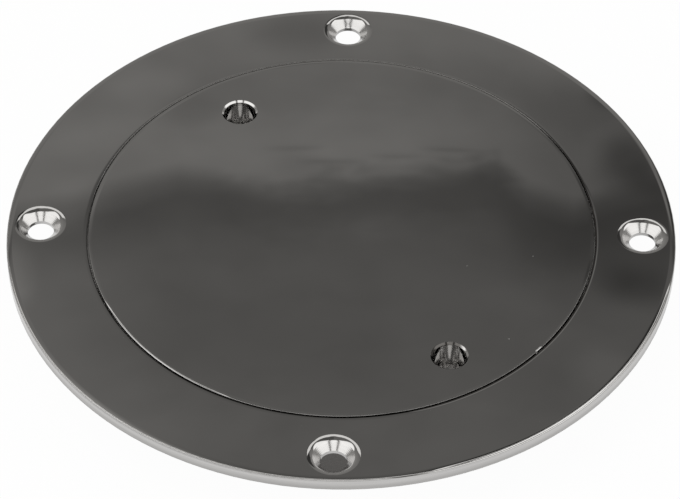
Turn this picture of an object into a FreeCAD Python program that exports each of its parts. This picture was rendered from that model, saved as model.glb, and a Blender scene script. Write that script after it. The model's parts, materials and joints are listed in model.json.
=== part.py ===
"""Round screw-in deck plate in polished stainless steel, for a boat's deck.

Three pieces: a flanged ring that is screwed down over a round cut-out in the deck, a lid that screws
into the ring and closes flush with it, and the rubber seal that sits under the lid's edge.

The flange's underside, which lies on the deck, is the plane Z = 0. Z is the axis of the plate and
points out of the deck. One of the four screws is on +X. All sizes are in millimetres and degrees.
"""

import FreeCAD, Part
import Sketcher

import os

from FreeCAD import Vector

# Driving sizes

SIZES = (
    ("lid_diameter", 110.4, "the lid, across its visible edge"),
    ("lid_thickness", 2.8, "the lid's plate, which is also the depth of the recess it closes"),
    ("lid_gap", 0.3, "gap all round between the lid's edge and the recess"),
    ("lid_edge_round", 0.1, "rounding of the lid's top edge"),
    ("flange_width", 17.5, "from the recess out to the rim"),
    ("flange_thickness", 2.8, "the flange"),
    ("rim_round", 0.35, "rounding of the rim's top edge"),
    ("rim_break", 0.1, "broken bottom edge of the rim"),
    ("recess_round", 0.12, "rounding of the recess's top edge"),
    ("collar_lip", 1.0, "how far the collar stands outside the recess"),
    ("collar_depth", 14.0, "the collar, below the flange"),
    ("collar_fillet", 1.0, "cast corner between the flange and the collar"),
    ("collar_chamfer", 0.8, "both edges of the collar's lower end"),
    ("seat_width", 1.1, "flat ledge that the lid's edge is screwed down on"),
    ("gland_leg", 3.4, "each leg of the seal's three-cornered space"),
    ("seal_clearance", 0.04, "between the seal and each wall of its space"),
    ("seal_corner", 0.55, "rounding of the squeezed seal's three corners"),
    ("thread_pitch", 3.0, "rise of the lid in one turn"),
    ("thread_height", 1.2, "the lid's thread, from root to crest"),
    ("thread_crest", 0.75, "width of the lid's thread at its crest"),
    ("flank_angle", 30.0, "slope of each flank, from square to the axis"),
    ("neck_relief", 0.2, "how far the lid's neck lies inside the thread's root"),
    ("crest_clearance", 0.3, "between the two threads, at crest and root"),
    ("flank_clearance", 0.2, "between the two threads on each flank, along the axis"),
    ("thread_lead", 1.0, "chamfer where the lid's thread starts"),
    ("skirt_wall", 3.0, "the lid's skirt, inside its neck"),
    ("skirt_setback", 2.5, "how far the skirt ends above the collar's end"),
    ("skirt_draft", 1.5, "draft of the skirt's inner wall"),
    ("skirt_fillet", 1.5, "cast corner between the lid's plate and the skirt"),
    ("skirt_break", 0.5, "chamfer of the skirt's inner lower edge"),
    ("screw_count", 4, "countersunk screws"),
    ("screw_inset", 7.15, "from the rim to the middle of a screw"),
    ("screw_hole", 5.8, "hole for a screw's shank"),
    ("countersink_diameter", 9.8, "cone, at the flange's top"),
    ("countersink_angle", 90.0, "cone, from side to side"),
    ("countersink_round", 1.8, "buffed edge of the cone"),
    ("key_count", 2, "holes for the pins of a deck key"),
    ("key_inset", 11.05, "from the lid's edge to the middle of a key hole"),
    ("key_bearing", 122.6, "direction of the first key hole, from +X"),
    ("key_hole", 7.2, "key hole"),
    ("key_depth", 7.5, "key hole, down to its drill point"),
    ("key_point", 118.0, "drill point, from side to side"),
    ("key_chamfer", 0.4, "chamfered edge of a key hole"),
    ("boss_wall", 2.4, "boss under the lid, around a key hole"),
    ("boss_floor", 1.8, "boss, under the drill point"),
    ("boss_draft", 2.0, "draft of a boss"),
)

# How far a thread's cutting profile reaches past the surface that it cuts.
CUT_OVERLAP = 0.3

# Places that pieces share, as expressions on the sizes. Radii are from the plate's axis.
TOP = "(Sizes.flange_thickness)"
LEDGE = f"({TOP} - Sizes.lid_thickness)"
LID_EDGE = "(Sizes.lid_diameter / 2)"
RECESS_WALL = f"({LID_EDGE} + Sizes.lid_gap)"
RIM = f"({RECESS_WALL} + Sizes.flange_width)"
COLLAR_WALL = f"({RECESS_WALL} + Sizes.collar_lip)"
COLLAR_END = "(-Sizes.collar_depth)"
SEAT_EDGE = f"({RECESS_WALL} - Sizes.seat_width)"
NECK = f"({SEAT_EDGE} - Sizes.gland_leg)"
NECK_END = f"({LEDGE} - Sizes.gland_leg)"
SKIRT_INSIDE = f"({NECK} - Sizes.skirt_wall)"
SKIRT_END = f"({COLLAR_END} + Sizes.skirt_setback)"

# The lid's thread, and the ring's thread around it with the clearance added.
LID_ROOT = f"({NECK} + Sizes.neck_relief)"
LID_CREST = f"({LID_ROOT} + Sizes.thread_height)"
RING_CREST = f"({LID_ROOT} + Sizes.crest_clearance)"
RING_ROOT = f"({LID_CREST} + Sizes.crest_clearance)"
FLANK = "tan(Sizes.flank_angle)"

# The first key hole, across and up from the axis, and the depth of its drill point.
KEY_CIRCLE = f"({LID_EDGE} - Sizes.key_inset)"
KEY_ACROSS = f"({KEY_CIRCLE} * cos(Sizes.key_bearing))"
KEY_UP = f"({KEY_CIRCLE} * sin(Sizes.key_bearing))"
KEY_POINT_DEPTH = "(Sizes.key_hole / 2 / tan(Sizes.key_point / 2))"

doc = FreeCAD.newDocument("DeckPlate")


# Helpers


def make_size_sheet():
    """Puts each driving size in a cell of its own, which sketches and features read by its name."""
    sheet = doc.addObject("Spreadsheet::Sheet", "Sizes")
    for row, (alias, value, meaning) in enumerate(SIZES, start=1):
        sheet.set(f"A{row}", alias.replace("_", " "))
        sheet.set(f"B{row}", str(value))
        sheet.set(f"C{row}", meaning)
        sheet.setAlias(f"B{row}", alias)
    doc.recompute()


def make_body(label):
    body = doc.addObject("PartDesign::Body", label)
    body.Label = label
    return body


def origin_feature(body, role):
    """A plane or axis of the body's own origin."""
    return next(item for item in body.Origin.OriginFeatures if item.Role == role)


def make_sketch(body, name, plane, height="0"):
    """An empty sketch on one of the body's origin planes, moved along its normal by height."""
    sketch = body.newObject("Sketcher::SketchObject", name)
    sketch.AttachmentSupport = (origin_feature(body, plane), [""])
    sketch.MapMode = "FlatFace"
    sketch.setExpression("AttachmentOffset.Base.z", height)
    return sketch


def hold_point(sketch, geometry, end, across, up):
    """Ties one point of the sketch to its two distances from the origin."""
    for kind, distance in (("DistanceX", across), ("DistanceY", up)):
        number = sketch.addConstraint(Sketcher.Constraint(kind, -1, 1, geometry, end, 1.0))
        sketch.setExpression(f"Constraints[{number}]", distance)


def make_section(body, name, corners):
    """A closed outline of straight lines beside the axis. Corners are (radius, height) by name."""
    sketch = make_sketch(body, name, "XZ_Plane")
    count = len(corners)
    for number in range(count):
        # The first places only keep the corners apart. The distances then move them.
        after = (number + 1) % count
        start = Vector(number, number**2, 0)
        sketch.addGeometry(Part.LineSegment(start, Vector(after, after**2, 0)), False)
    for number, (radius, height) in enumerate(corners.values()):
        sketch.addConstraint(Sketcher.Constraint("Coincident", number, 2, (number + 1) % count, 1))
        hold_point(sketch, number, 1, radius, height)
    doc.recompute()
    return sketch


def make_circle(body, name, height, diameter, across, up):
    """A sketch with one circle, square to the axis."""
    sketch = make_sketch(body, name, "XY_Plane", height)
    circle = sketch.addGeometry(Part.Circle(Vector(1, 1, 0), Vector(0, 0, 1), 1), False)
    number = sketch.addConstraint(Sketcher.Constraint("Diameter", circle, 1.0))
    sketch.setExpression(f"Constraints[{number}]", diameter)
    hold_point(sketch, circle, 3, across, up)
    doc.recompute()
    return sketch


def revolve(body, name, section):
    turned = body.newObject("PartDesign::Revolution", name)
    turned.Profile = section
    turned.ReferenceAxis = (section, ["V_Axis"])
    turned.Angle = 360
    doc.recompute()
    return turned


def repeat_round_axis(body, name, feature, count):
    pattern = body.newObject("PartDesign::PolarPattern", name)
    pattern.Originals = [feature]
    pattern.Axis = (origin_feature(body, "Z_Axis"), [""])
    pattern.Angle = 360
    pattern.setExpression("Occurrences", count)
    body.Tip = pattern
    doc.recompute()
    return pattern


def is_circle(edge, radius, height):
    return (
        isinstance(edge.Curve, Part.Circle)
        and abs(edge.Curve.Radius - radius) < 0.01
        and abs(edge.Curve.Center.z - height) < 0.01
    )


def dress_circles(body, kind, name, base, radius, height, size):
    """Rounds or chamfers every edge of base that is a circle of this radius, at this height."""
    edges = [
        f"Edge{number}"
        for number, edge in enumerate(base.Shape.Edges, start=1)
        if is_circle(edge, radius, height)
    ]
    if not edges:
        raise RuntimeError(f"{name} found no edge")
    dressed = body.newObject(f"PartDesign::{kind}", name)
    dressed.Base = (base, edges)
    dressed.setExpression("Radius" if kind == "Fillet" else "Size", size)
    doc.recompute()
    return dressed


def turn_piece(body, name, corners, edges):
    """Turns a section into a solid and finishes its edges, given as (kind, corner, size)."""
    section = make_section(body, f"{name}_section", corners)
    base = revolve(body, f"{name}_turning", section)
    names = list(corners)
    for kind, corner, size in edges:
        place = section.getPoint(names.index(corner), 1)
        base = dress_circles(body, kind, corner, base, place.x, place.y, f"Sizes.{size}")
    return base


def add_hole(body, name, place, diameter):
    """A plain round hole down from the circle of a sketch."""
    hole = body.newObject("PartDesign::Hole", name)
    hole.Profile = place
    doc.recompute()
    hole.ThreadType = "None"
    hole.setExpression("Diameter", diameter)
    return hole


def cut_thread(body, name, base, corners, height):
    """Cuts a right-handed groove with a section, up along the axis from where the section is."""
    section = make_section(body, f"{name}_section", corners)
    groove = body.newObject("PartDesign::SubtractiveHelix", name)
    groove.Profile = section
    groove.ReferenceAxis = (section, ["V_Axis"])
    groove.Mode = "pitch-height-angle"
    groove.Angle = 0
    groove.LeftHanded = False
    groove.Reversed = False
    groove.setExpression("Pitch", "Sizes.thread_pitch")
    groove.setExpression("Height", height)
    doc.recompute()
    if groove.Shape.Volume > 0.999 * base.Shape.Volume:
        raise RuntimeError(f"{name} cut nothing")


# The ring


def make_ring():
    ring = make_body("deck_ring")
    # The seal's cone runs down at 45 degrees from the seat to the thread's crest.
    corners = {
        "recess_round": (RECESS_WALL, TOP),
        "ledge": (RECESS_WALL, LEDGE),
        "seat": (SEAT_EDGE, LEDGE),
        "cone": (RING_CREST, f"{LEDGE} - ({SEAT_EDGE} - {RING_CREST})"),
        "collar_inner_chamfer": (RING_CREST, COLLAR_END),
        "collar_outer_chamfer": (COLLAR_WALL, COLLAR_END),
        "collar_fillet": (COLLAR_WALL, "0"),
        "rim_break": (RIM, "0"),
        "rim_round": (RIM, TOP),
    }
    edges = (
        ("Fillet", "rim_round", "rim_round"),
        ("Chamfer", "rim_break", "rim_break"),
        ("Fillet", "recess_round", "recess_round"),
        ("Fillet", "collar_fillet", "collar_fillet"),
        ("Chamfer", "collar_outer_chamfer", "collar_chamfer"),
        ("Chamfer", "collar_inner_chamfer", "collar_chamfer"),
    )
    turn_piece(ring, "ring", corners, edges)
    drilled = drill_screw_holes(ring)
    cut_ring_thread(ring, drilled)
    return ring


def drill_screw_holes(ring):
    """Countersunk holes through the flange, their edges softened by the polishing."""
    place = make_circle(
        ring, "screw_place", TOP, "Sizes.screw_hole", f"{RIM} - Sizes.screw_inset", "0"
    )
    hole = add_hole(ring, "screw_hole", place, "Sizes.screw_hole")
    hole.DepthType = "ThroughAll"
    hole.HoleCutType = "Countersink"
    hole.HoleCutCustomValues = True
    hole.setExpression("HoleCutDiameter", "Sizes.countersink_diameter")
    hole.setExpression("HoleCutCountersinkAngle", "Sizes.countersink_angle")
    doc.recompute()
    holes = repeat_round_axis(ring, "screw_holes", hole, "Sizes.screw_count")
    radius = hole.HoleCutDiameter.Value / 2
    height = place.Placement.Base.z
    return dress_circles(
        ring, "Fillet", "countersink_round", holes, radius, height, "Sizes.countersink_round"
    )


def cut_ring_thread(ring, base):
    """The thread in the collar: the lid's thread with its clearances, from below the collar's end."""
    start = f"({COLLAR_END} - 0.75 * Sizes.thread_pitch)"
    half_root = f"(Sizes.thread_crest / 2 + Sizes.flank_clearance - Sizes.crest_clearance * {FLANK})"
    inside = f"({RING_CREST} - {CUT_OVERLAP})"
    half_inside = f"({half_root} + ({RING_ROOT} - {inside}) * {FLANK})"
    corners = {
        "inner top": (inside, f"{start} + {half_inside}"),
        "inner bottom": (inside, f"{start} - {half_inside}"),
        "root bottom": (RING_ROOT, f"{start} - {half_root}"),
        "root top": (RING_ROOT, f"{start} + {half_root}"),
    }
    cut_thread(ring, "ring_thread", base, corners, f"{LEDGE} + Sizes.thread_pitch / 2 - {start}")


# The lid


def make_lid():
    lid = make_body("screw_lid")
    draft = f"(({LEDGE} - {SKIRT_END}) * tan(Sizes.skirt_draft))"
    corners = {
        "middle_top": ("0", TOP),
        "middle_under": ("0", LEDGE),
        "skirt_fillet": (SKIRT_INSIDE, LEDGE),
        "skirt_break": (f"{SKIRT_INSIDE} + {draft}", SKIRT_END),
        "thread_lead": (LID_CREST, SKIRT_END),
        "shoulder": (LID_CREST, NECK_END),
        "neck_low": (NECK, NECK_END),
        "neck_high": (NECK, LEDGE),
        "edge_under": (LID_EDGE, LEDGE),
        "lid_edge_round": (LID_EDGE, TOP),
    }
    edges = (
        ("Fillet", "lid_edge_round", "lid_edge_round"),
        ("Chamfer", "thread_lead", "thread_lead"),
        ("Chamfer", "skirt_break", "skirt_break"),
        ("Fillet", "skirt_fillet", "skirt_fillet"),
    )
    turn_piece(lid, "lid", corners, edges)
    add_key_bosses(lid)
    drilled = drill_key_holes(lid)
    cut_lid_thread(lid, drilled)
    return lid


def add_key_bosses(lid):
    """Cast bosses under the lid, which give the blind key holes their depth."""
    diameter = "Sizes.key_hole + 2 * Sizes.boss_wall"
    place = make_circle(lid, "boss_place", LEDGE, diameter, KEY_ACROSS, KEY_UP)
    boss = lid.newObject("PartDesign::Pad", "key_boss")
    boss.Profile = place
    boss.Reversed = True
    boss.setExpression(
        "Length", f"Sizes.key_depth + {KEY_POINT_DEPTH} + Sizes.boss_floor - Sizes.lid_thickness"
    )
    boss.setExpression("TaperAngle", "-Sizes.boss_draft")
    doc.recompute()
    repeat_round_axis(lid, "key_bosses", boss, "Sizes.key_count")


def drill_key_holes(lid):
    """Blind holes in the lid's top for the pins of a deck key, their edges chamfered."""
    place = make_circle(lid, "key_place", TOP, "Sizes.key_hole", KEY_ACROSS, KEY_UP)
    hole = add_hole(lid, "key_hole", place, "Sizes.key_hole")
    hole.DepthType = "Dimension"
    hole.DrillPoint = "Angled"
    hole.DrillForDepth = False
    hole.setExpression("Depth", "Sizes.key_depth")
    hole.setExpression("DrillPointAngle", "Sizes.key_point")
    doc.recompute()
    holes = repeat_round_axis(lid, "key_holes", hole, "Sizes.key_count")
    radius = hole.Diameter.Value / 2
    height = place.Placement.Base.z
    return dress_circles(lid, "Chamfer", "key_chamfer", holes, radius, height, "Sizes.key_chamfer")


def cut_lid_thread(lid, base):
    """The valley between the turns of the lid's thread, from below the skirt up into the neck.

    Its middle lies half a turn's rise from the ring's groove, so that ridge and groove are in line.
    """
    start = f"({COLLAR_END} - 1.25 * Sizes.thread_pitch)"
    half_root = f"((Sizes.thread_pitch - Sizes.thread_crest) / 2 - Sizes.thread_height * {FLANK})"
    outside = f"({LID_CREST} + {CUT_OVERLAP})"
    half_outside = f"({half_root} + ({outside} - {LID_ROOT}) * {FLANK})"
    corners = {
        "root top": (LID_ROOT, f"{start} + {half_root}"),
        "root bottom": (LID_ROOT, f"{start} - {half_root}"),
        "outer bottom": (outside, f"{start} - {half_outside}"),
        "outer top": (outside, f"{start} + {half_outside}"),
    }
    cut_thread(lid, "lid_thread", base, corners, f"{LEDGE} - Sizes.gland_leg / 2 - {start}")


# The seal


def make_seal():
    """The rubber ring, squeezed between the lid's neck, the lid's edge and the ring's cone."""
    seal = make_body("lid_seal")
    # The slanting side stays as far from the cone as the other two from their walls.
    side = "(Sizes.gland_leg - Sizes.seal_clearance * (1 + sqrt(2)))"
    inner = f"{NECK} + Sizes.seal_clearance"
    upper = f"{LEDGE} - Sizes.seal_clearance"
    corners = {
        "inner_round": (inner, upper),
        "lower_round": (inner, f"{LEDGE} - {side}"),
        "outer_round": (f"{NECK} + {side}", upper),
    }
    turn_piece(seal, "seal", corners, [("Fillet", corner, "seal_corner") for corner in corners])
    return seal


# Build, check and write


def check_document(bodies):
    for item in doc.Objects:
        if "Invalid" in item.State or "Error" in item.State:
            raise RuntimeError(f"{item.Label} failed: {item.State}")
    for body in bodies:
        if body.Shape.isNull() or not body.Shape.isValid() or len(body.Shape.Solids) != 1:
            raise RuntimeError(f"{body.Label} isn't one valid solid")


make_size_sheet()
pieces = [make_ring(), make_lid(), make_seal()]
doc.recompute()
check_document(pieces)
os.makedirs("parts", exist_ok=True)
for piece in pieces:
    piece.Shape.exportStep(f"parts/{piece.Label}.step")
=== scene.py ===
"""Finishes, studio and camera for a round screw-in deck plate in polished stainless steel.

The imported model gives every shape, so this script only dresses it: each of the three pieces gets its
finish, and the plate stands in a small photographer's studio.
"""
import json
import math
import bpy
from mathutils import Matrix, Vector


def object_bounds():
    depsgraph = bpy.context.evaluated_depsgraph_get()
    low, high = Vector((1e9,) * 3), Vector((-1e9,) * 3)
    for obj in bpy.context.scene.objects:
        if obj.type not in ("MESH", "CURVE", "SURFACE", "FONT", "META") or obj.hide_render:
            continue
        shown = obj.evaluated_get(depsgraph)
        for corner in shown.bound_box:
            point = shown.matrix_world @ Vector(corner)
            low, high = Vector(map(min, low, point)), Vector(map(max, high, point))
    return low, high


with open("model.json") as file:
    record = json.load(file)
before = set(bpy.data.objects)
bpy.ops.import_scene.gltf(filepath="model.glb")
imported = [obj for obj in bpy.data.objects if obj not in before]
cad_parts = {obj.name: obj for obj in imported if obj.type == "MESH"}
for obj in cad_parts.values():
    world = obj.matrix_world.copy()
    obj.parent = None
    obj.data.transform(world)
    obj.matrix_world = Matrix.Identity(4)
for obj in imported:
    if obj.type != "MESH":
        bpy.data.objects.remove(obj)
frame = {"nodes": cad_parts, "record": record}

from types import SimpleNamespace

import bpy
from bpy.props import FloatProperty, FloatVectorProperty, PointerProperty
from bpy.types import Operator, Panel, PropertyGroup
from mathutils import Matrix, Vector

bl_info = {
    "name": "Deck Plate",
    "version": (1, 0, 0),
    "blender": (4, 5, 0),
    "location": "3D View > Sidebar > Deck Plate",
    "description": "Dresses a round stainless steel deck plate and sets up its studio",
    "category": "Object",
}

CAD_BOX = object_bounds()
MOUNTS = {mount["name"]: mount for mount in frame["record"]["mounts"]}
MM = 0.001

# Heights and radii on the castings, where one finish ends and another starts.
PLATE_TOP = CAD_BOX[1].z
POLISH_END = PLATE_TOP - 0.56 * MM
RIM_FLAT = CAD_BOX[1].x - 0.35 * MM
LID_EDGE = max(corner[0] for corner in frame["nodes"]["screw_lid"].bound_box)
RECESS = LID_EDGE + 0.3 * MM
SKIRT_INSIDE = 49 * MM
RING_UNDERSIDE = 0.11 * MM
LID_UNDERSIDE = 0.01 * MM

# Circle and radius of the screw holes and of the key holes, the direction of the back key hole in
# degrees from +X towards +Y, and the radius at which the bare cone or chamfer meets the polish.
SCREW_CIRCLE = MOUNTS["deck_screws"]["dims"]["pcd_mm"] / 2 * MM
SCREW_BORE = MOUNTS["deck_screws"]["dims"]["hole_r_mm"] * MM
SCREW_CONE = 4.37 * MM
KEY_CIRCLE = MOUNTS["key_holes"]["dims"]["pcd_mm"] / 2 * MM
KEY_BORE = MOUNTS["key_holes"]["dims"]["hole_r_mm"] * MM
KEY_CHAMFER = 4.02 * MM
KEY_DIRECTION = 122.6

# Edges that the polishing wheel has rolled off: width of the roll, and its slope at the edge in degrees.
GAP_ROLL = (0.9 * MM, 1.3)
GAP_ROLL_AT_RIGHT = (0.75 * MM, 20.0)
LID_ROLL_WHERE_WORN = (0.45 * MM, 40.0)
RIM_ROLL = (1.0 * MM, 4.2)
RIM_ROLL_AT_FRONT_RIGHT = (0.42 * MM, 46.0)

# Parts of the plate that differ from the rest: their direction in degrees from +X towards +Y, how far
# out they start, and over which length they set in.
RIGHT = (-30.0, 38 * MM, 9 * MM)
RIM_FRONT_RIGHT = (-43.0, 61.5 * MM, 9 * MM)
LID_FRONT_LEFT = (-134.0, 50.8 * MM, 3.2 * MM)
LEFT = (180.0, -15 * MM, 45 * MM)
BACK = (100.0, 19 * MM, 14 * MM)
BACK_LEFT = (114.0, -4.6 * MM, 41 * MM)

# The nick in the lid's edge: its direction in degrees, how far out it starts, and half its length.
NICK_DIRECTION = -39.3
NICK_START = 50 * MM
NICK_HALF_LENGTH = 0.7 * MM

# Painted shade lies in a line along the gap. It reaches this far onto the ring and the lid, and further onto
# the ring at the right. On the front key hole's chamfer it ends this far to the right.
SHADE_ON_RING = 0.2 * MM
SHADE_FURTHER_AT_RIGHT = 0.15 * MM
SHADE_ON_LID = 0.1 * MM
SHADE_ON_KEY_HOLE = 25.8 * MM

# Shares of the painted shade: how much of it is taken away in the gap at the back left, how much of it the
# lid has, and how much lies where the rim is dull, low on the rim, and over the painted light at the back.
LESS_SHADE_AT_BACK_LEFT = 0.85
LID_SHARE = 0.65
LID_SHARE_AT_RIGHT = 0.95
DULL_RIM_SHARE = 0.1
LOW_RIM_SHARE = 0.3
OVER_PAINTED_LIGHT_SHARE = 0.7

# Painted light, a pale matt colour, on the ring's wall in the back of the gap: how far down it goes, how near
# to the recess's radius a face has to be to count as the wall, and how far the edge over it is dull and
# painted dark.
PAINTED_LIGHT_DEPTH = 1.2 * MM
WALL_NEARNESS = 0.03 * MM
DULL_EDGE = 0.14 * MM

# Specks in the lid's polish, in millimetres: across, up, half length, half width, and how dull. The
# first is a faint smear.
SPECKS = (
    (8.0, 0.1, 1.6, 0.35, 0.14), (27.5, -10.4, 0.22, 0.22, 1.0), (41.8, -7.0, 0.18, 0.18, 1.0),
    (36.4, -32.0, 0.2, 0.2, 1.0),
)

# Relief of the steel: direction, thinness and depth of the buffing lines, half the depth of a tool
# mark, and depth of the cast grain.
BUFF_DIRECTION = math.radians(24)
BUFF_THINNESS = 0.03
BUFF_DEPTH = 0.00006 * MM
HALF_TOOL_MARK = 0.0012 * MM
GRAIN_DEPTH = 0.05 * MM

# Size of the patches where the polish was wiped, spacing and thinness of the lines round the upright
# faces, and roughness of the dull places.
WIPED_PATCH = 22 * MM
UPRIGHT_LINES = 0.5 * MM
UPRIGHT_THINNESS = 0.02
DULL_ROUGHNESS = 0.4

# Size and depth of the fine skin of the rubber.
RUBBER_SKIN = 0.4 * MM
RUBBER_SKIN_DEPTH = 0.01 * MM

# Settings of a Mix node that mixes colours.
COLOURS = {"data_type": "RGBA", "output": 2}


def linear(hex_colour):
    """An sRGB hex colour as linear red, green and blue."""
    levels = [int(hex_colour[place : place + 2], 16) / 255 for place in (1, 3, 5)]
    return tuple(level / 12.92 if level <= 0.04045 else ((level + 0.055) / 1.055) ** 2.4 for level in levels)


def add_node(tree, kind, inputs=None, output=0, **settings):
    """Adds a node with its settings, fills its inputs with values or links, and returns one output."""
    node = tree.nodes.new("ShaderNode" + kind)
    for name, value in settings.items():
        setattr(node, name, value)
    for key, value in (inputs or {}).items():
        if isinstance(value, bpy.types.NodeSocket):
            tree.links.new(value, node.inputs[key])
        else:
            node.inputs[key].default_value = value
    return node.outputs[output] if node.outputs else node


class DeckPlateSteel(PropertyGroup):
    """The finishes of the two steel castings."""

    polished_colour: FloatVectorProperty(
        name="Polished Steel", description="Reflectance of the polished faces",
        subtype="COLOR", min=0.0, max=1.0, default=linear("#CAC9C8"),
    )
    cast_colour: FloatVectorProperty(
        name="Cast Skin", description="Reflectance of the blasted skin under the flange and the lid",
        subtype="COLOR", min=0.0, max=1.0, default=linear("#6E6C6A"),
    )
    # Painted shade: the dark colour mixed in along the gap, on the rim and on the front key hole's chamfer.
    painted_shade_colour: FloatVectorProperty(
        name="Painted Shade", description="Colour of the painted shade along the gap, on the rim and on the front key hole",
        subtype="COLOR", min=0.0, max=1.0, default=linear("#5A5856"),
    )
    # Painted light: the pale matt colour on the gap's wall at the back.
    painted_light_colour: FloatVectorProperty(
        name="Painted Light", description="Colour of the painted light on the gap's wall at the back",
        subtype="COLOR", min=0.0, max=1.0, default=linear("#7C7A77"),
    )
    polish_roughness: FloatProperty(
        name="Polish Roughness", description="Roughness of the polished faces",
        subtype="FACTOR", min=0.01, max=0.5, default=0.022,
    )
    cut_roughness: FloatProperty(
        name="Ring Machined Roughness", description="Roughness of the ring's turned and countersunk faces",
        subtype="FACTOR", min=0.05, max=0.6, default=0.17,
    )
    reamed_roughness: FloatProperty(
        name="Lid Machined Roughness", description="Roughness of the lid's turned and reamed faces",
        subtype="FACTOR", min=0.05, max=0.6, default=0.12,
    )
    cast_roughness: FloatProperty(
        name="Cast Roughness", description="Roughness of the blasted casting skin",
        subtype="FACTOR", min=0.1, max=0.9, default=0.5,
    )
    wave_length: FloatProperty(
        name="Wave Length", description="Distance between the slow waves that the buffing wheel leaves",
        unit="LENGTH", min=0.005, default=38 * MM,
    )
    wave_depth: FloatProperty(
        name="Wave Depth", description="Depth of those waves", unit="LENGTH", min=0.0, default=0.012 * MM,
    )
    buff_spacing: FloatProperty(
        name="Buffing Line Spacing", description="Distance between the fine lines of the buffing wheel",
        unit="LENGTH", min=0.0001, default=0.5 * MM,
    )
    feed: FloatProperty(
        name="Tool Feed", description="Distance between the tool marks on the machined faces",
        unit="LENGTH", min=0.0001, default=0.45 * MM,
    )
    grain: FloatProperty(
        name="Cast Grain", description="Size of the grains in the casting skin",
        unit="LENGTH", min=0.0001, default=0.6 * MM,
    )


class DeckPlateSeal(PropertyGroup):
    """The finish of the rubber seal."""

    rubber_colour: FloatVectorProperty(
        name="Rubber", description="Colour of the nitrile rubber",
        subtype="COLOR", min=0.0, max=1.0, default=linear("#1C1C1D"),
    )
    bloom_size: FloatProperty(
        name="Bloom Size", description="Size of the dull patches on the rubber",
        unit="LENGTH", min=0.0005, default=4 * MM,
    )


class DeckPlateStudio(PropertyGroup):
    """The studio and the camera."""

    floor_colour: FloatVectorProperty(
        name="Floor", description="Colour of the floor",
        subtype="COLOR", min=0.0, max=1.0, default=linear("#F6F5F3"),
    )
    tent_radius: FloatProperty(
        name="Tent Radius", description="Radius of the cloth tent round the plate",
        unit="LENGTH", min=1.6, default=2.5,
    )
    panel_brightness: FloatProperty(
        name="Panel Brightness", description="Brightness of the tent's white panels",
        min=0.0, default=1.5,
    )
    cloth_tint: FloatVectorProperty(
        name="Cloth Tint", description="Warmth of the light from the cloth",
        subtype="COLOR", min=0.0, max=1.0, default=(1.0, 0.98, 0.945),
    )
    panel_tint: FloatVectorProperty(
        name="Panel Tint", description="Warmth of the light from the white panels",
        subtype="COLOR", min=0.0, max=1.0, default=(1.0, 0.995, 0.98),
    )
    fill_strength: FloatProperty(
        name="Fill Strength", description="Strength of the even light from all round", min=0.0, default=0.62,
    )
    lamp_power: FloatProperty(
        name="Lamp Power", description="Power of the soft lamp over the plate",
        unit="POWER", min=0.0, default=2.6,
    )
    lamp_size: FloatProperty(
        name="Lamp Size", description="Width of the soft lamp", unit="LENGTH", min=0.1, default=0.6,
    )
    lamp_place: FloatVectorProperty(
        name="Lamp Place", description="Middle of the soft lamp",
        subtype="TRANSLATION", default=(-0.35, -0.3, 0.75),
    )
    camera_elevation: FloatProperty(
        name="Camera Elevation", description="Angle of the camera above the horizon",
        subtype="ANGLE", default=math.radians(44.931),
    )
    camera_azimuth: FloatProperty(
        name="Camera Azimuth", description="Angle of the camera to the right of the front",
        subtype="ANGLE", default=math.radians(1.187),
    )
    camera_roll: FloatProperty(
        name="Camera Roll", description="Turn of the camera about its view axis",
        subtype="ANGLE", default=math.radians(0.274),
    )
    camera_distance: FloatProperty(
        name="Camera Distance", description="Distance from the camera to the point it looks at",
        unit="LENGTH", min=0.1, default=782.72 * MM,
    )
    camera_aim: FloatVectorProperty(
        name="Camera Aim", description="Point that the camera looks at",
        subtype="TRANSLATION", default=(-0.119 * MM, -6.121 * MM, PLATE_TOP),
    )
    camera_lens: FloatProperty(
        name="Camera Lens", description="Focal length on a sensor 36 mm wide",
        unit="CAMERA", min=10.0, default=190.69,
    )


def new_material(name):
    """A material with nodes, and none in it yet."""
    material = bpy.data.materials.new(name)
    material.use_nodes = True
    material.node_tree.nodes.clear()
    return material


def product(tree, first, *others):
    """All the values multiplied."""
    for other in others:
        first = add_node(tree, "Math", {0: first, 1: other}, operation="MULTIPLY")
    return first


def total(tree, first, *others):
    """All the values added."""
    for other in others:
        first = add_node(tree, "Math", {0: first, 1: other}, operation="ADD")
    return first


def largest(tree, first, *others):
    """The largest of the values."""
    for other in others:
        first = add_node(tree, "Math", {0: first, 1: other}, operation="MAXIMUM")
    return first


def scaled(tree, value, factor, offset=0.0):
    """value times factor, plus offset."""
    return add_node(tree, "Math", {0: value, 1: factor, 2: offset}, operation="MULTIPLY_ADD")


def above(tree, value, limit, width):
    """0 where value is under limit, 1 where it is over limit + width, smooth between."""
    return add_node(
        tree, "MapRange", {"Value": value, "From Min": limit, "From Max": limit + width},
        interpolation_type="SMOOTHSTEP",
    )


def below(tree, value, limit, width):
    """1 where value is under limit, 0 where it is over limit + width, smooth between."""
    return add_node(
        tree, "MapRange",
        {"Value": value, "From Min": limit, "From Max": limit + width, "To Min": 1.0, "To Max": 0.0},
        interpolation_type="SMOOTHSTEP",
    )


def between(tree, value, start, end, soft):
    """1 where value lies between start and end, 0 beyond them, smooth over soft on the outside."""
    return product(tree, above(tree, value, start - soft, soft), below(tree, value, end, soft))


def along_points(tree, value, points):
    """Straight lines from point to point, each given as (value, result)."""
    first = points[0][0]
    length = points[-1][0] - first
    lowest = min(result for _, result in points)
    rise = max(result for _, result in points) - lowest
    ramp = add_node(tree, "ValToRGB", {"Fac": scaled(tree, value, 1 / length, -first / length)})
    stops = ramp.node.color_ramp.elements
    while len(stops) < len(points):
        stops.new(1.0)
    for stop, (place, result) in zip(stops, points):
        stop.position = (place - first) / length
        stop.color = (*[(result - lowest) / rise] * 3, 1.0)
    return scaled(tree, ramp, rise, lowest)


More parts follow.
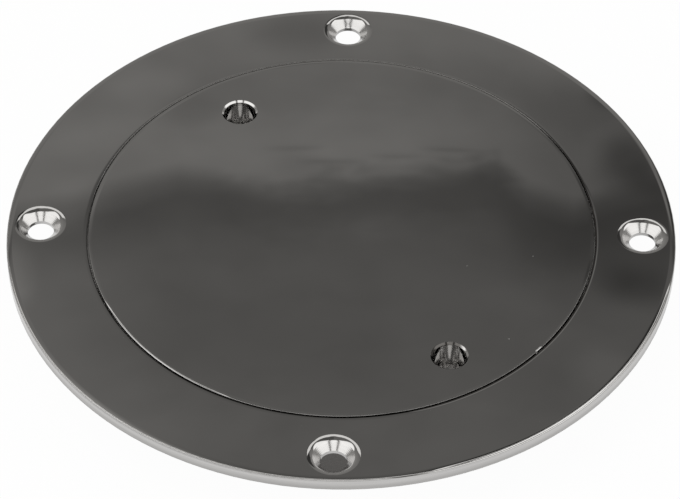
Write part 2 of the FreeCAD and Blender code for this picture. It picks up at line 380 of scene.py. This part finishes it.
def distance_in_plan(tree, x, y):
    """Length of the vector (x, y, 0)."""
    plan = add_node(tree, "CombineXYZ", {"X": x, "Y": y})
    return add_node(tree, "VectorMath", {0: plan}, operation="LENGTH", output="Value")


def reach(tree, x, y, direction):
    """How far out the point lies in this direction, in degrees from +X towards +Y."""
    turn = math.radians(direction)
    return scaled(tree, x, math.cos(turn), scaled(tree, y, math.sin(turn)))


def toward(tree, x, y, direction, start, width):
    """1 in the part of the plate that lies beyond start in this direction, 0 in the rest."""
    return above(tree, reach(tree, x, y, direction), start, width)


def screw_hole_distance(tree, x, y):
    """Distance in plan from the nearest of the four screw holes, which lie on the X and Y axes."""
    along = add_node(tree, "Math", {0: x}, operation="ABSOLUTE")
    across = add_node(tree, "Math", {0: y}, operation="ABSOLUTE")
    far = largest(tree, along, across)
    near = add_node(tree, "Math", {0: along, 1: across}, operation="MINIMUM")
    return distance_in_plan(tree, total(tree, far, -SCREW_CIRCLE), near)


def key_hole_distance(tree, x, y):
    """Distance in plan from the nearer of the two key holes, which lie opposite each other."""
    side = add_node(tree, "Math", {0: y}, operation="SIGN")
    direction = math.radians(KEY_DIRECTION)
    off_x = total(tree, product(tree, x, side), -KEY_CIRCLE * math.cos(direction))
    off_y = total(tree, product(tree, y, side), -KEY_CIRCLE * math.sin(direction))
    return distance_in_plan(tree, off_x, off_y)


def tool_travel(tree, radius, z, hole, hole_radius):
    """How far the tool has come along the surface. It grows on flats, walls and cones alike."""
    near_hole = below(tree, hole, 2 * hole_radius, 0.1 * MM)
    distance = add_node(tree, "Mix", {"Factor": near_hole, 2: radius, 3: hole})
    # The height counts less than the distance, so that the two never cancel out on a 45 degree cone.
    return scaled(tree, z, 0.7, distance)


def rolled_edge(tree, radius, edge, side, roll):
    """Height that the wheel has rolled off towards an edge, by a roll given as (width, slope).

    The face lies outside the edge where side is 1, and inside it where side is -1.
    """
    width, slope = roll
    share = add_node(tree, "MapRange", {"Value": radius, "From Min": edge + side * width, "From Max": edge})
    deepest = -math.tan(math.radians(slope)) * width / 2
    return scaled(tree, product(tree, share, share), deepest)


def painted_shade_left(tree, x, y):
    """Share of the painted shade that is left in the gap. At the back left most of it is taken away."""
    return scaled(tree, toward(tree, x, y, *BACK_LEFT), -LESS_SHADE_AT_BACK_LEFT, 1.0)


def worn_edge(tree, x, y):
    """1 where the lid's edge is worn: a stretch at the front left and a short nick at the front right."""
    stretch = toward(tree, x, y, *LID_FRONT_LEFT)
    off_nick = add_node(tree, "Math", {0: reach(tree, x, y, NICK_DIRECTION + 90)}, operation="ABSOLUTE")
    along_nick = below(tree, off_nick, NICK_HALF_LENGTH, 0.4 * MM)
    nick = product(tree, along_nick, toward(tree, x, y, NICK_DIRECTION, NICK_START, MM))
    return largest(tree, stretch, nick)


def speck_mask(tree, position):
    """1 in the specks of the polish, 0 elsewhere."""
    specks = []
    for across, up, half_length, half_width, share in SPECKS:
        size = Vector((1 / (half_length * MM), 1 / (half_width * MM), 0.0))
        centred = add_node(
            tree, "Mapping",
            {"Vector": position, "Scale": size, "Location": (-across * MM * size.x, -up * MM * size.y, 0.0)},
        )
        off = add_node(tree, "VectorMath", {0: centred}, operation="LENGTH", output="Value")
        specks.append(scaled(tree, below(tree, off, 0.3, 0.9), share))
    return largest(tree, *specks)


def ring_zones(tree, position):
    """Where the ring is polished, cast, rolled off, dull, darkened with painted shade and lightened with
    painted light.
    """
    x, y, z = add_node(tree, "SeparateXYZ", {"Vector": position}).node.outputs
    radius = distance_in_plan(tree, x, y)
    hole = screw_hole_distance(tree, x, y)

    # The top and the rim are polished, up to the countersinks and the wall of the gap.
    top = above(tree, z, POLISH_END, 0.03 * MM)
    rim = above(tree, radius, RIM_FLAT, 0.1 * MM)
    upper = largest(tree, top, rim)
    outside_gap = above(tree, radius, RECESS + 0.02 * MM, 0.05 * MM)
    polished = product(tree, outside_gap, upper, above(tree, hole, SCREW_CONE, 0.05 * MM))

    # The underside and the outside of the collar are cast, apart from the screw holes.
    under = below(tree, z, RING_UNDERSIDE, 0.02 * MM)
    beyond_gap = above(tree, radius, RECESS + 0.2 * MM, 0.1 * MM)
    cast = product(tree, under, beyond_gap, above(tree, hole, SCREW_BORE + 0.3 * MM, 0.1 * MM))

    # The gap's edge is rolled off most at the right, and the rim most at the front right.
    at_right = toward(tree, x, y, *RIGHT)
    rolled = total(
        tree,
        rolled_edge(tree, radius, RECESS, 1, GAP_ROLL),
        product(tree, rolled_edge(tree, radius, RECESS, 1, GAP_ROLL_AT_RIGHT), at_right),
        rolled_edge(tree, radius, RIM_FLAT, -1, RIM_ROLL),
        product(
            tree, rolled_edge(tree, radius, RIM_FLAT, -1, RIM_ROLL_AT_FRONT_RIGHT),
            toward(tree, x, y, *RIM_FRONT_RIGHT),
        ),
    )

    # The wheel reached the rim's edge less on the left, so it is duller there.
    dull_rim = product(tree, rim, top, toward(tree, x, y, *LEFT))
    # At the back, the wall of the gap is painted pale and matt, as painted light, and the edge over it is
    # dull and darkened with painted shade.
    behind = product(tree, toward(tree, x, y, *BACK), above(tree, z, PLATE_TOP - PAINTED_LIGHT_DEPTH, 0.2 * MM))
    back_of_gap = product(tree, behind, below(tree, radius, RECESS + DULL_EDGE, 0.04 * MM))
    paste = product(tree, back_of_gap, below(tree, radius, RECESS + WALL_NEARNESS, 0.02 * MM))

    # Painted shade lies along the gap, a little on the rim's dull edge at the left, and a little low on the
    # rim, which is painted darker towards its bottom.
    line_radius = scaled(tree, at_right, -SHADE_FURTHER_AT_RIGHT, radius)
    line = product(tree, upper, below(tree, line_radius, RECESS + SHADE_ON_RING, 0.06 * MM))
    along_gap = product(tree, line, painted_shade_left(tree, x, y))
    low = product(tree, rim, below(tree, z, 0.3 * MM, 1.6 * MM))
    painted_shade = largest(
        tree, scaled(tree, dull_rim, DULL_RIM_SHARE, along_gap), scaled(tree, low, LOW_RIM_SHARE),
        scaled(tree, back_of_gap, OVER_PAINTED_LIGHT_SHARE),
    )
    return SimpleNamespace(
        polished=polished, cast=cast, rolled=rolled, painted_shade=painted_shade, paste=paste,
        dull=largest(tree, dull_rim, back_of_gap),
        tool=tool_travel(tree, radius, z, hole, SCREW_CONE),
    )


def lid_zones(tree, position):
    """Where the lid is polished, cast, rolled off, dull and darkened with painted shade. It has no painted
    light.
    """
    x, y, z = add_node(tree, "SeparateXYZ", {"Vector": position}).node.outputs
    radius = distance_in_plan(tree, x, y)
    hole = key_hole_distance(tree, x, y)

    # The top is polished, up to the chamfers of the key holes.
    upper = above(tree, z, POLISH_END, 0.03 * MM)
    polished = product(tree, upper, above(tree, hole, KEY_CHAMFER, 0.05 * MM))

    # The underside is cast inside the skirt, apart from the key holes.
    under = below(tree, z, LID_UNDERSIDE, 0.02 * MM)
    inside = below(tree, radius, SKIRT_INSIDE, 0.1 * MM)
    cast = product(tree, under, inside, above(tree, hole, KEY_BORE + 0.15 * MM, 0.05 * MM))

    # The edge is rolled off a little all round, and much more where it is worn.
    worn = worn_edge(tree, x, y)
    rolled = total(
        tree,
        rolled_edge(tree, radius, LID_EDGE, -1, GAP_ROLL),
        product(tree, rolled_edge(tree, radius, LID_EDGE, -1, LID_ROLL_WHERE_WORN), worn),
    )

    # Painted shade lies along the gap, except where the edge is worn.
    line = product(tree, upper, above(tree, radius, LID_EDGE - SHADE_ON_LID, 0.04 * MM))
    lid_share = scaled(tree, toward(tree, x, y, *RIGHT), LID_SHARE_AT_RIGHT - LID_SHARE, LID_SHARE)
    along_gap = product(tree, line, scaled(tree, worn, -1.0, 1.0), lid_share, painted_shade_left(tree, x, y))
    # It is painted on the front key hole's chamfer too, except on its right.
    chamfer = product(tree, upper, between(tree, hole, KEY_BORE, KEY_CHAMFER, 0.03 * MM))
    key_side = below(tree, x, SHADE_ON_KEY_HOLE, 1.2 * MM)
    front_key = product(tree, chamfer, below(tree, y, 0.0, MM), key_side)
    return SimpleNamespace(
        polished=polished, cast=cast, rolled=rolled, paste=None,
        painted_shade=largest(tree, along_gap, front_key),
        dull=product(tree, speck_mask(tree, position), polished),
        tool=tool_travel(tree, radius, z, hole, KEY_CHAMFER),
    )


def steel_relief(tree, position, steel, zones):
    """Height of the steel's marks, in metres."""
    # Slow waves of the buffing wheel.
    waves = add_node(
        tree, "TexNoise",
        {"Vector": position, "Scale": 1 / steel.wave_length, "Detail": 2.0, "Roughness": 0.4},
    )
    # Buffing lines, long one way and fine across. Real ones are about 0.05 mm apart, too fine to show.
    line_map = add_node(
        tree, "Mapping",
        {"Vector": position, "Rotation": (0.0, 0.0, BUFF_DIRECTION), "Scale": (BUFF_THINNESS, 1.0, 1.0)},
    )
    lines = add_node(tree, "TexNoise", {"Vector": line_map, "Scale": 1 / steel.buff_spacing, "Detail": 2.0})
    polish = total(tree, scaled(tree, waves, steel.wave_depth), scaled(tree, lines, BUFF_DEPTH), zones.rolled)

    # Rings of the tool. A real feed is about 0.15 mm, drawn coarser so that it shows.
    turns = scaled(tree, zones.tool, 2 * math.pi / steel.feed)
    rings = scaled(tree, add_node(tree, "Math", {0: turns}, operation="SINE"), HALF_TOOL_MARK)

    # Grain of the blasted skin.
    grain = add_node(
        tree, "TexNoise", {"Vector": position, "Scale": 1 / steel.grain, "Detail": 3.0, "Roughness": 0.6},
    )
    worked = add_node(tree, "Mix", {"Factor": zones.polished, 2: rings, 3: polish})
    return add_node(tree, "Mix", {"Factor": zones.cast, 2: worked, 3: scaled(tree, grain, GRAIN_DEPTH)})


def steel_roughness(tree, position, steel, cut_roughness, zones):
    """Roughness of the steel. The polish varies a little in soft patches, where it was wiped."""
    patches = add_node(tree, "TexNoise", {"Vector": position, "Scale": 1 / WIPED_PATCH, "Detail": 3.0})
    polish = add_node(
        tree, "MapRange",
        {
            "Value": patches, "From Min": 0.3, "From Max": 0.7,
            "To Min": steel.polish_roughness * 0.85, "To Max": steel.polish_roughness * 1.2,
        },
    )
    worked = add_node(tree, "Mix", {"Factor": zones.polished, 2: cut_roughness, 3: polish})
    skin = add_node(tree, "Mix", {"Factor": zones.cast, 2: worked, 3: steel.cast_roughness})
    return add_node(tree, "Mix", {"Factor": zones.dull, 2: skin, 3: DULL_ROUGHNESS})


def steel_colour(tree, position, steel, zones):
    """Colour of the steel, with the painted shade that the zones give it."""
    # Fine lines run round the plate's upright faces, from the lathe and the wheel.
    upright_map = add_node(
        tree, "Mapping", {"Vector": position, "Scale": (UPRIGHT_THINNESS, UPRIGHT_THINNESS, 1.0)},
    )
    upright = add_node(tree, "TexNoise", {"Vector": upright_map, "Scale": 1 / UPRIGHT_LINES, "Detail": 2.0})
    tone = add_node(
        tree, "MapRange",
        {"Value": upright, "From Min": 0.3, "From Max": 0.7, "To Min": 0.9, "To Max": 1.0},
    )
    polish = add_node(
        tree, "Mix", {"Factor": 1.0, 6: (*steel.polished_colour, 1.0), 7: tone},
        blend_type="MULTIPLY", **COLOURS,
    )
    bare = add_node(tree, "Mix", {"Factor": zones.cast, 6: polish, 7: (*steel.cast_colour, 1.0)}, **COLOURS)
    # Painted shade darkens the steel along the gap, on the rim and on the front key hole's chamfer.
    return add_node(
        tree, "Mix", {"Factor": zones.painted_shade, 6: bare, 7: (*steel.painted_shade_colour, 1.0)}, **COLOURS,
    )


def steel_material(name, steel, cut_roughness, find_zones):
    """Polished 316 stainless steel casting, machined where it seats and threads.

    The polished faces are a soft mirror: a buffing wheel leaves slow waves, faint lines and a few dull
    specks. Machined faces show fine rings from the tool. The skin that stays as cast and blasted is
    grey and even, with a fine grain.
    """
    material = new_material(name)
    tree = material.node_tree
    position = add_node(tree, "TexCoord", output="Object")
    zones = find_zones(tree, position)
    colour = steel_colour(tree, position, steel, zones)
    metal = 1.0
    if zones.paste is not None:
        # The painted light is matt colour, no metal.
        colour = add_node(
            tree, "Mix", {"Factor": zones.paste, 6: colour, 7: (*steel.painted_light_colour, 1.0)}, **COLOURS,
        )
        metal = scaled(tree, zones.paste, -1.0, 1.0)
    relief = steel_relief(tree, position, steel, zones)
    shader = add_node(
        tree, "BsdfPrincipled",
        {
            "Base Color": colour, "Metallic": metal,
            "Roughness": steel_roughness(tree, position, steel, cut_roughness, zones),
            "Normal": add_node(tree, "Bump", {"Height": relief, "Strength": 1.0, "Distance": 1.0}),
        },
    )
    add_node(tree, "OutputMaterial", {"Surface": shader})
    return material


def rubber_material(name, seal):
    """Moulded nitrile rubber: near black, dull and smooth, with soft patches of bloom."""
    material = new_material(name)
    tree = material.node_tree
    position = add_node(tree, "TexCoord", output="Object")
    bloom = add_node(tree, "TexNoise", {"Vector": position, "Scale": 1 / seal.bloom_size, "Detail": 3.0})
    pale = add_node(
        tree, "MapRange", {"Value": bloom, "From Min": 0.35, "From Max": 0.75, "To Min": 1.0, "To Max": 1.5},
    )
    colour = add_node(
        tree, "Mix", {"Factor": 1.0, 6: (*seal.rubber_colour, 1.0), 7: pale},
        blend_type="MULTIPLY", **COLOURS,
    )
    rough = add_node(
        tree, "MapRange", {"Value": bloom, "From Min": 0.3, "From Max": 0.7, "To Min": 0.55, "To Max": 0.75},
    )
    skin = add_node(tree, "TexNoise", {"Vector": position, "Scale": 1 / RUBBER_SKIN, "Detail": 2.0})
    height = scaled(tree, skin, RUBBER_SKIN_DEPTH)
    normal = add_node(tree, "Bump", {"Height": height, "Strength": 1.0, "Distance": 1.0})
    shader = add_node(
        tree, "BsdfPrincipled", {"Base Color": colour, "Roughness": rough, "IOR": 1.52, "Normal": normal},
    )
    add_node(tree, "OutputMaterial", {"Surface": shader})
    return material


def dress(node, material):
    """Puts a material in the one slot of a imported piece."""
    piece = frame["nodes"][node]
    if len(piece.material_slots) != 1:
        raise RuntimeError(node + " has not one material slot")
    piece.material_slots[0].material = material


class DECKPLATE_OT_finish_ring(Operator):
    """Give the flanged ring its polished, machined and cast faces"""

    bl_idname = "deck_plate.finish_ring"
    bl_label = "Finish the Ring"

    def execute(self, context):
        steel = context.scene.deck_plate_steel
        material = steel_material("Polished_316_stainless_ring", steel, steel.cut_roughness, ring_zones)
        dress("deck_ring", material)
        return {"FINISHED"}


class DECKPLATE_OT_finish_lid(Operator):
    """Give the lid its polished, machined and cast faces"""

    bl_idname = "deck_plate.finish_lid"
    bl_label = "Finish the Lid"

    def execute(self, context):
        steel = context.scene.deck_plate_steel
        material = steel_material("Polished_316_stainless_lid", steel, steel.reamed_roughness, lid_zones)
        dress("screw_lid", material)
        return {"FINISHED"}


class DECKPLATE_OT_finish_seal(Operator):
    """Give the seal its moulded rubber skin"""

    bl_idname = "deck_plate.finish_seal"
    bl_label = "Finish the Seal"

    def execute(self, context):
        dress("lid_seal", rubber_material("Moulded_nitrile_rubber", context.scene.deck_plate_seal))
        return {"FINISHED"}


def stage_piece(name, material):
    """Names the object that was just added and gives it its material."""
    piece = bpy.context.object
    piece.name = name
    piece.data.name = name
    piece.data.materials.append(material)
    return piece


# Share of plain white in the table, where the camera or glass sees it and where a mirror does. The
# rest is matt and holds the shadow.
SEEN_PLAIN = 0.97
MIRRORED_PLAIN = 0.6


def floor_material(studio):
    """Matt white table. Camera, mirror and glass see it plain white with a light shadow."""
    material = new_material("Matt_white_table")
    tree = material.node_tree
    light_path = add_node(tree, "LightPath").node.outputs
    seen = largest(tree, light_path["Is Camera Ray"], light_path["Is Transmission Ray"])
    share = largest(
        tree, scaled(tree, seen, SEEN_PLAIN), scaled(tree, light_path["Is Glossy Ray"], MIRRORED_PLAIN),
    )
    matt = add_node(tree, "BsdfDiffuse", {"Color": (*studio.floor_colour, 1.0)})
    plain = add_node(tree, "Emission", {"Color": (1.0, 1.0, 1.0, 1.0), "Strength": 1.0})
    top = add_node(tree, "MixShader", {0: share, 1: matt, 2: plain})
    # From below the table is open, so that the underside can be seen.
    open_side = add_node(tree, "BsdfTransparent")
    backfacing = add_node(tree, "NewGeometry", output="Backfacing")
    both_sides = add_node(tree, "MixShader", {0: backfacing, 1: top, 2: open_side})
    add_node(tree, "OutputMaterial", {"Surface": both_sides})
    return material


# Places on the tent are bearings and heights in degrees. Bearing 0 is opposite the camera, plus is to
# the right, and height 0 is the horizon.

# Brightness of the cloth behind the plate, by height. The plate's flat faces see 40 to 50 degrees of
# it, with the shadow of a fold across their middle.
CLOTH_STEPS = (
    (0.0, 0.38), (8.0, 0.33), (20.0, 0.29), (34.0, 0.26), (40.0, 0.235), (41.7, 0.19), (42.3, 0.222),
    (43.28, 0.228), (43.72, 0.1), (44.2, 0.1), (44.9, 0.13), (47.3, 0.131), (49.0, 0.157),
    (51.0, 0.152), (56.0, 0.12), (90.0, 0.11),
)

# How far the shadow's edge is lowered, by bearing: it sags twice and hangs down at the right end.
EDGE_SAG = (
    (-10.0, -0.45), (-8.6, -0.3), (-7.3, -0.12), (-5.8, 0.09), (-4.6, -0.02), (-2.9, -0.26), (-1.5, -0.13),
    (0.0, 0.0), (1.1, 0.05), (2.8, 0.3), (3.3, 0.3), (4.2, -0.22), (5.6, -0.48), (6.4, -0.2), (8.0, 0.2),
)

# Single folds in shadow or light: bearing and height of the middle, half width, half height, share left.
FOLDS = (
    (-2.4, 40.5, 1.7, 0.5, 0.75), (-5.4, 42.1, 1.1, 0.35, 0.85), (7.0, 42.9, 1.0, 0.7, 0.55),
    (6.4, 41.6, 0.8, 0.3, 0.6), (7.0, 45.4, 0.8, 0.5, 0.82), (-2.5, 42.95, 0.9, 0.05, 0.7),
    (-1.4, 43.25, 1.1, 0.05, 0.68), (0.4, 43.12, 0.9, 0.05, 0.68), (1.9, 42.95, 0.9, 0.05, 0.7),
    (-9.9, 44.2, 1.4, 0.4, 1.3), (-7.5, 48.6, 4.0, 1.6, 1.12), (-8.5, 42.2, 2.2, 0.9, 1.12),
    (-11.2, 45.2, 1.0, 0.9, 1.38), (-6.6, 41.5, 1.3, 0.5, 1.22), (-8.7, 44.0, 0.9, 0.7, 1.15),
    (7.0, 47.3, 1.2, 0.6, 1.22), (-0.3, 44.6, 1.6, 0.35, 1.12), (7.8, 43.2, 0.9, 0.4, 0.66),
    (7.8, 45.5, 1.2, 0.45, 0.68), (-2.4, 43.3, 0.9, 0.25, 0.86),
)

# Ripple and wisps of the shadow's edge in degrees, how much darker the cloth is near the right and
# lighter near the left, and its mottling.
RIPPLE = 0.08
WISPS = 0.22
DARKER_AT_RIGHT = 0.38
LIGHTER_AT_LEFT = 0.6
MOTTLING = 0.06

# Larger places: bearings from and to, how softly they end, heights from and to, how softly, and how
# much light they take away or give.
GAPS_HIGH_UP = ((5.5, 19.0, 3.0, 52.0, 60.0, 2.0, 0.72), (10.5, 19.0, 2.5, 47.0, 60.0, 1.5, 0.72))
GAP_LOW_DOWN = (15.0, 36.0, 3.0, 22.0, 42.0, 3.0, 0.8)
LIGHT_AT_LEFT = (-30.0, -13.0, 6.0, 51.0, 62.0, 4.0, 0.3)

# White panels, given in the same way but alike to the left and to the right: one behind the camera,
# one at each side of it, two wings opposite it, and one high up between the wings.
PANELS = (
    (164.0, 180.0, 4.0, 30.0, 57.0, 4.0, 1.0),
    (70.0, 148.0, 5.0, 24.0, 56.0, 5.0, 1.0),
    (20.0, 42.0, 2.5, 46.0, 80.0, 2.5, 0.68),
    (-1.0, 22.0, 2.5, 61.0, 78.0, 2.5, 0.68),
)


def stretched_noise(tree, place, wide, high):
    """Noise from about -1 to 1 in patches of this width and height, in degrees."""
    stretched = add_node(tree, "Mapping", {"Vector": place, "Scale": (1 / wide, 1 / high, 1.0)})
    noise = add_node(
        tree, "TexNoise",
        {"Vector": stretched, "Scale": 1.0, "Detail": 3.0, "Roughness": 0.55, "Distortion": 0.5},
    )
    return scaled(tree, noise, 3.3, -1.65)


def fold_shade(tree, place, across, up, half_width, half_height, left):
    """Share of the light that one fold leaves: that share in its middle, and all of it beyond the fold."""
    centred = add_node(
        tree, "Mapping",
        {
            "Vector": place, "Scale": (1 / half_width, 1 / half_height, 0.0),
            "Location": (-across / half_width, -up / half_height, 0.0),
        },
    )
    off = add_node(tree, "VectorMath", {0: centred}, operation="LENGTH", output="Value")
    return add_node(
        tree, "MapRange", {"Value": off, "From Min": 0.2, "From Max": 1.3, "To Min": left, "To Max": 1.0},
        interpolation_type="SMOOTHSTEP",
    )


def tent_place(tree, bearing, height, start, end, soft, lowest, highest, soft_height, strength):
    """strength in one of the tent's larger places, 0 beyond it."""
    across = between(tree, bearing, start, end, soft)
    return scaled(tree, product(tree, across, between(tree, height, lowest, highest, soft_height)), strength)


def cloth_brightness(tree, bearing, height):
    """Brightness of the grey cloth, with its shadow, its folds and the light on it."""
    place = add_node(tree, "CombineXYZ", {"X": bearing, "Y": height})
    # The shadow's edge follows the sag of the cloth and is wispy in the middle.
    sag = along_points(tree, bearing, EDGE_SAG)
    ripple = scaled(tree, stretched_noise(tree, place, 5.0, 1.3), RIPPLE)
    middle = between(tree, bearing, -4.0, 3.4, 1.2)
    wisps = scaled(tree, product(tree, stretched_noise(tree, place, 1.2, 0.2), middle), WISPS)
    cloth = along_points(tree, total(tree, height, sag, ripple, wisps), CLOTH_STEPS)

    # The cloth darkens to the right below 46 degrees, and lightens to the left above the shadow.
    near_right = product(
        tree, above(tree, bearing, -0.5, 7.0), below(tree, bearing, 8.2, 2.0),
        between(tree, height, 42.0, 44.9, 1.3),
    )
    near_left = product(tree, below(tree, bearing, -12.5, 6.5), above(tree, height, 44.0, 0.8))
    cloth = product(
        tree, cloth, scaled(tree, near_right, -DARKER_AT_RIGHT, 1.0),
        scaled(tree, near_left, LIGHTER_AT_LEFT, 1.0),
    )
    # A dark gap low down at the right, and the cloth's own mottling.
    gap = tent_place(tree, bearing, height, *GAP_LOW_DOWN)
    mottling = scaled(tree, stretched_noise(tree, place, 2.2, 0.7), MOTTLING, 1.0)
    cloth = product(tree, cloth, scaled(tree, gap, -1.0, 1.0), mottling)
    for fold in FOLDS:
        cloth = product(tree, cloth, fold_shade(tree, place, *fold))
    # Soft light on the cloth high up at the left.
    return largest(tree, cloth, tent_place(tree, bearing, height, *LIGHT_AT_LEFT))


def tent_material(studio):
    """Grey cloth tent with white light panels, seen only in the plate's own reflections."""
    material = new_material("Grey_cloth_and_light_panels")
    material.cycles.emission_sampling = "NONE"
    tree = material.node_tree
    position = add_node(tree, "TexCoord", output="Object")
    direction = add_node(tree, "VectorMath", {0: position}, operation="NORMALIZE")
    x, y, z = add_node(tree, "SeparateXYZ", {"Vector": direction}).node.outputs
    height = scaled(tree, add_node(tree, "Math", {0: z}, operation="ARCSINE"), math.degrees(1))
    bearing = scaled(tree, add_node(tree, "Math", {0: x, 1: y}, operation="ARCTAN2"), math.degrees(1))
    cloth = cloth_brightness(tree, bearing, height)
    to_a_side = add_node(tree, "Math", {0: bearing}, operation="ABSOLUTE")
    panels = largest(tree, *(tent_place(tree, to_a_side, height, *panel) for panel in PANELS))
    brightness = add_node(tree, "Mix", {"Factor": panels, 2: cloth, 3: studio.panel_brightness})
    # Dark gaps in the tent high up at the right, beside the panels.
    gaps = largest(tree, *(tent_place(tree, bearing, height, *gap) for gap in GAPS_HIGH_UP))
    brightness = product(tree, brightness, scaled(tree, gaps, -1.0, 1.0))
    tint = add_node(
        tree, "Mix",
        {"Factor": panels, 6: (*studio.cloth_tint, 1.0), 7: (*studio.panel_tint, 1.0)}, **COLOURS,
    )
    glow = add_node(tree, "Emission", {"Color": tint, "Strength": brightness})
    add_node(tree, "OutputMaterial", {"Surface": glow})
    return material


def set_world(studio):
    """Plain white all round for camera, mirror and glass, and an even fill light for the rest."""
    world = bpy.data.worlds.new("Even_white_room")
    bpy.context.scene.world = world
    world.use_nodes = True
    tree = world.node_tree
    tree.nodes.clear()
    light_path = add_node(tree, "LightPath").node.outputs
    seen = largest(
        tree, light_path["Is Camera Ray"], light_path["Is Glossy Ray"], light_path["Is Transmission Ray"],
    )
    strength = add_node(tree, "Mix", {"Factor": seen, 2: studio.fill_strength, 3: 1.0})
    background = add_node(tree, "Background", {"Color": (1.0, 1.0, 1.0, 1.0), "Strength": strength})
    add_node(tree, "OutputWorld", {"Surface": background})


def add_floor(studio):
    """The table that the collar's end stands on."""
    bpy.ops.mesh.primitive_plane_add(size=8.0, location=(0.0, 0.0, CAD_BOX[0].z - 0.05 * MM))
    stage_piece("floor", floor_material(studio))


def add_tent(studio):
    """The tent: a dome over the table, open below."""
    bpy.ops.mesh.primitive_uv_sphere_add(
        segments=64, ring_count=32, radius=studio.tent_radius, location=(0.0, 0.0, 0.0),
    )
    bpy.ops.object.mode_set(mode="EDIT")
    bpy.ops.mesh.select_all(action="SELECT")
    bpy.ops.mesh.bisect(plane_co=(0.0, 0.0, CAD_BOX[0].z), plane_no=(0.0, 0.0, 1.0), clear_inner=True)
    bpy.ops.mesh.select_all(action="SELECT")
    bpy.ops.mesh.flip_normals()
    bpy.ops.object.mode_set(mode="OBJECT")
    tent = stage_piece("tent", tent_material(studio))
    tent.visible_camera = False
    tent.visible_diffuse = False
    tent.visible_transmission = False
    tent.visible_volume_scatter = False
    tent.visible_shadow = False


def add_lamp(studio):
    """A soft lamp over the plate at the front left, turned to the plate. Mirrors see the panels instead."""
    bpy.ops.object.light_add(type="AREA", location=studio.lamp_place)
    lamp = bpy.context.object
    lamp.name = "soft_lamp"
    lamp.data.shape = "SQUARE"
    lamp.data.size = studio.lamp_size
    lamp.data.energy = studio.lamp_power
    lamp.rotation_euler = (-lamp.location).to_track_quat("-Z", "Y").to_euler()
    lamp.visible_glossy = False


def add_camera(studio):
    """The camera, at the photograph's angle."""
    azimuth = studio.camera_azimuth
    roll = studio.camera_roll
    flat = math.cos(studio.camera_elevation)
    back = Vector((math.sin(azimuth) * flat, -math.cos(azimuth) * flat, math.sin(studio.camera_elevation)))
    level = Vector((math.cos(azimuth), math.sin(azimuth), 0.0))
    upright = back.cross(level)
    right = math.cos(roll) * level + math.sin(roll) * upright
    up = math.cos(roll) * upright - math.sin(roll) * level
    bpy.ops.object.camera_add()
    camera = bpy.context.object
    camera.name = "camera"
    place = Matrix((right, up, back)).transposed().to_4x4()
    place.translation = Vector(studio.camera_aim) + back * studio.camera_distance
    camera.matrix_world = place
    camera.data.sensor_fit = "HORIZONTAL"
    camera.data.sensor_width = 36.0
    camera.data.lens = studio.camera_lens
    camera.data.clip_start = 0.01
    camera.data.clip_end = 20.0
    bpy.context.scene.camera = camera


class DECKPLATE_OT_set_stage(Operator):
    """Set up the table, the tent, the lamp, the world and the camera"""

    bl_idname = "deck_plate.set_stage"
    bl_label = "Set the Stage"

    def execute(self, context):
        studio = context.scene.deck_plate_studio
        bpy.ops.object.select_all(action="DESELECT")
        add_floor(studio)
        add_tent(studio)
        add_lamp(studio)
        add_camera(studio)
        set_world(studio)
        context.scene.view_settings.view_transform = "Standard"
        return {"FINISHED"}


GROUPS = {
    "deck_plate_steel": DeckPlateSteel,
    "deck_plate_seal": DeckPlateSeal,
    "deck_plate_studio": DeckPlateStudio,
}
STEPS = (DECKPLATE_OT_finish_ring, DECKPLATE_OT_finish_lid, DECKPLATE_OT_finish_seal, DECKPLATE_OT_set_stage)


class DECKPLATE_PT_sidebar(Panel):
    """Sizes, colours and steps of the deck plate"""

    bl_idname = "DECKPLATE_PT_sidebar"
    bl_label = "Deck Plate"
    bl_space_type = "VIEW_3D"
    bl_region_type = "UI"
    bl_category = "Deck Plate"

    def draw(self, context):
        layout = self.layout
        for place, group in GROUPS.items():
            box = layout.box()
            for name in group.__annotations__:
                box.prop(getattr(context.scene, place), name)
        for step in STEPS:
            layout.operator(step.bl_idname)


CLASSES = (*GROUPS.values(), *STEPS, DECKPLATE_PT_sidebar)


def register():
    for one in CLASSES:
        bpy.utils.register_class(one)
    for name, group in GROUPS.items():
        setattr(bpy.types.Scene, name, PointerProperty(type=group))


def unregister():
    for name in GROUPS:
        delattr(bpy.types.Scene, name)
    for one in reversed(CLASSES):
        bpy.utils.unregister_class(one)


def main():
    register()
    bpy.ops.deck_plate.finish_ring()
    bpy.ops.deck_plate.finish_lid()
    bpy.ops.deck_plate.finish_seal()
    bpy.ops.deck_plate.set_stage()


if __name__ == "__main__":
    main()
